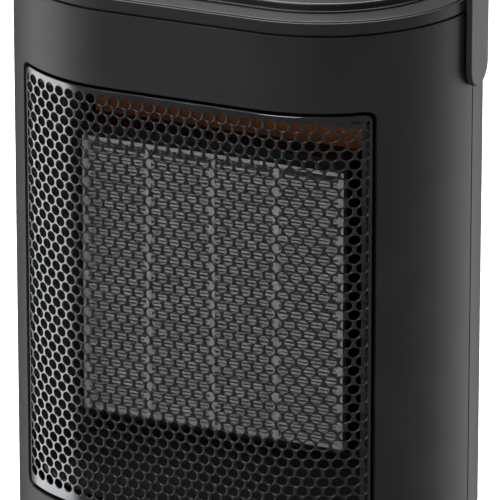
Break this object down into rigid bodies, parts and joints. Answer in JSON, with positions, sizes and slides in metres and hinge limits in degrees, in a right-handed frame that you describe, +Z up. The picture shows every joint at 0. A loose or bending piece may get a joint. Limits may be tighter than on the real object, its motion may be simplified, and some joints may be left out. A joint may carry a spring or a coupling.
{
  "type": "ceramic space heater",
  "caption": "Compact upright fan heater with a curved perforated grille, a finned ceramic element, two top dials and a folding carrying handle.",
  "frame": {"origin": "on the floor, under the middle of the casing", "axes": "+Z up, -Y the way the warm air leaves through the grille, +X to the right seen from the front"},
  "size_m": [0.1866, 0.1125, 0.29],
  "materials": {
    "casing": "fine matte grain",
    "casing_back": "fine matte grain",
    "lid": "fine matte grain",
    "panel": "satin",
    "grille_metal": "black semi-gloss coating",
    "base": "matte",
    "feet_rubber": "matte",
    "handle_plastic": "fine matte grain",
    "bush_plastic": "satin",
    "knob_plastic": "satin",
    "white_plastic": "moulded",
    "switch_plastic": "moulded",
    "brass_fittings": "turned",
    "ceramic_block": "unglazed",
    "amber_lens": "clear amber",
    "lamp_glass": "clear",
    "duct_plastic": "matte",
    "carrier_board": "brown heat-resistant board",
    "dark_steel": "dark heat-resistant coating",
    "bar_aluminium": "dull",
    "fin_aluminium": "dull folded foil",
    "steel": "zinc plated",
    "fan_plastic": "moulded",
    "motor_metal": "drawn can",
    "wire_red": "sleeved lead"
  },
  "bodies": {
    "casing": {"front_shell": "casing", "rear_shell": "casing_back", "top_lid": "lid", "control_panel": "panel", "front_grille": "grille_metal", "base_plate": "base", "rubber_feet": "feet_rubber", "handle_bushes": "bush_plastic", "mode_switch": "switch_plastic", "thermostat": "ceramic_block", "indicator_lens": "amber_lens", "indicator_lamp": "lamp_glass", "air_duct": "duct_plastic", "fan_shroud": "duct_plastic", "element_carrier": "carrier_board", "element_frame": "dark_steel", "heating_bars": "bar_aluminium", "heating_fins": "fin_aluminium", "heater_terminals": "steel", "motor_housing": "motor_metal", "motor_bearings": "brass_fittings", "motor_bracket": "duct_plastic", "motor_screws": "steel", "thermal_cutout": "ceramic_block", "thermal_fuse": "white_plastic", "tip_switch": "switch_plastic", "terminal_block": "white_plastic", "cord_gland": "feet_rubber", "lead_wires": "wire_red", "shell_screws": "steel", "base_screws": "steel"},
    "carry_handle": {"handle": "handle_plastic"},
    "mode_dial": {"mode_knob": "knob_plastic", "mode_shaft": "white_plastic"},
    "thermostat_dial": {"thermostat_knob": "knob_plastic", "thermostat_shaft": "brass_fittings"},
    "fan": {"fan_impeller": "fan_plastic", "motor_shaft": "steel"},
    "tip_button": {"tip_plunger": "switch_plastic"}
  },
  "joints": [
    {"name": "handle_swing", "type": "hinge", "parent": "casing", "child": "carry_handle", "pos_m": [0, 0.0055, 0.2104], "axis": [-1, 0, 0], "range_deg": [0, 130]},
    {"name": "mode_turn", "type": "hinge", "parent": "casing", "child": "mode_dial", "pos_m": [-0.034, 0, 0.24], "axis": [0, 0, -1], "range_deg": [0, 135]},
    {"name": "thermostat_turn", "type": "hinge", "parent": "casing", "child": "thermostat_dial", "pos_m": [0.034, 0, 0.24], "axis": [0, 0, -1], "range_deg": [0, 270]},
    {"name": "fan_spin", "type": "hinge", "parent": "casing", "child": "fan", "pos_m": [0, 0.016, 0.118], "axis": [0, 1, 0], "continuous": true},
    {"name": "tip_travel", "type": "slide", "parent": "casing", "child": "tip_button", "axis": [0, 0, -1], "range_m": [0, 0.004], "stiffness_N_per_m": 150, "springref_m": 0.005}
  ]
}
